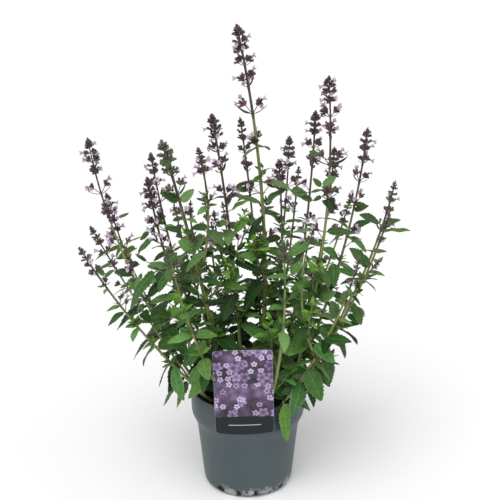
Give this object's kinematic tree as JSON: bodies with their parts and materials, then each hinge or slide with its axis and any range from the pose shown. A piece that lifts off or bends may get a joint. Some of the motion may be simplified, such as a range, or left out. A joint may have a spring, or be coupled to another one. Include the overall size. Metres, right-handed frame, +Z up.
{
  "type": "potted catmint plant",
  "caption": "Bushy catmint in a round grey nursery pot: square leafy stems in peat, upright spikes of dark calyces with pale lilac flowers, and a plant label hooked over the rim.",
  "frame": {"origin": "centre of the pot's underside, on the ground", "axes": "+Z up along the pot's axis; -Y is the side that carries the label; +X to the right seen from the label side"},
  "size_m": [0.4351, 0.3028, 0.688],
  "materials": {
    "pot_plastic": "satin injection-moulded plastic with fine scuffs",
    "peat": "rough damp peat",
    "label_card": "semi-gloss printed card",
    "foliage": "matt, finely hairy leaf with toothed edge",
    "flower": "velvety calyx with pale lilac petals"
  },
  "bodies": {
    "root": {"pot": "pot_plastic", "soil": "peat", "plant_label": "label_card", "leafy_stem_01": "foliage", "leafy_stem_02": "foliage", "leafy_stem_03": "foliage", "leafy_stem_04": "foliage", "leafy_stem_05": "foliage", "leafy_stem_06": "foliage", "leafy_stem_07": "foliage", "leafy_stem_08": "foliage", "leafy_stem_09": "foliage", "leafy_stem_10": "foliage", "leafy_stem_11": "foliage", "leafy_stem_12": "foliage", "leafy_stem_13": "foliage", "leafy_stem_14": "foliage", "leafy_stem_15": "foliage", "leafy_stem_16": "foliage", "leafy_stem_17": "foliage", "leafy_stem_18": "foliage", "leafy_stem_19": "foliage", "leafy_stem_20": "foliage", "leafy_stem_21": "foliage", "leafy_stem_22": "foliage", "leafy_stem_23": "foliage", "leafy_stem_24": "foliage", "leafy_stem_25": "foliage", "leafy_stem_26": "foliage", "flower_spike_01": "flower", "flower_spike_02": "flower", "flower_spike_03": "flower", "flower_spike_04": "flower", "flower_spike_05": "flower", "flower_spike_06": "flower", "flower_spike_07": "flower", "flower_spike_08": "flower", "flower_spike_09": "flower", "flower_spike_10": "flower", "flower_spike_11": "flower", "flower_spike_12": "flower", "flower_spike_13": "flower", "flower_spike_14": "flower", "flower_spike_15": "flower", "flower_spike_16": "flower", "flower_spike_17": "flower", "flower_spike_18": "flower", "flower_spike_19": "flower", "flower_spike_20": "flower", "flower_spike_21": "flower", "flower_spike_22": "flower", "flower_spike_23": "flower", "flower_spike_24": "flower", "flower_spike_25": "flower", "flower_spike_26": "flower", "flower_spike_27": "flower", "flower_spike_28": "flower", "flower_spike_29": "flower", "flower_spike_30": "flower", "flower_spike_31": "flower"}
  },
  "joints": []
}
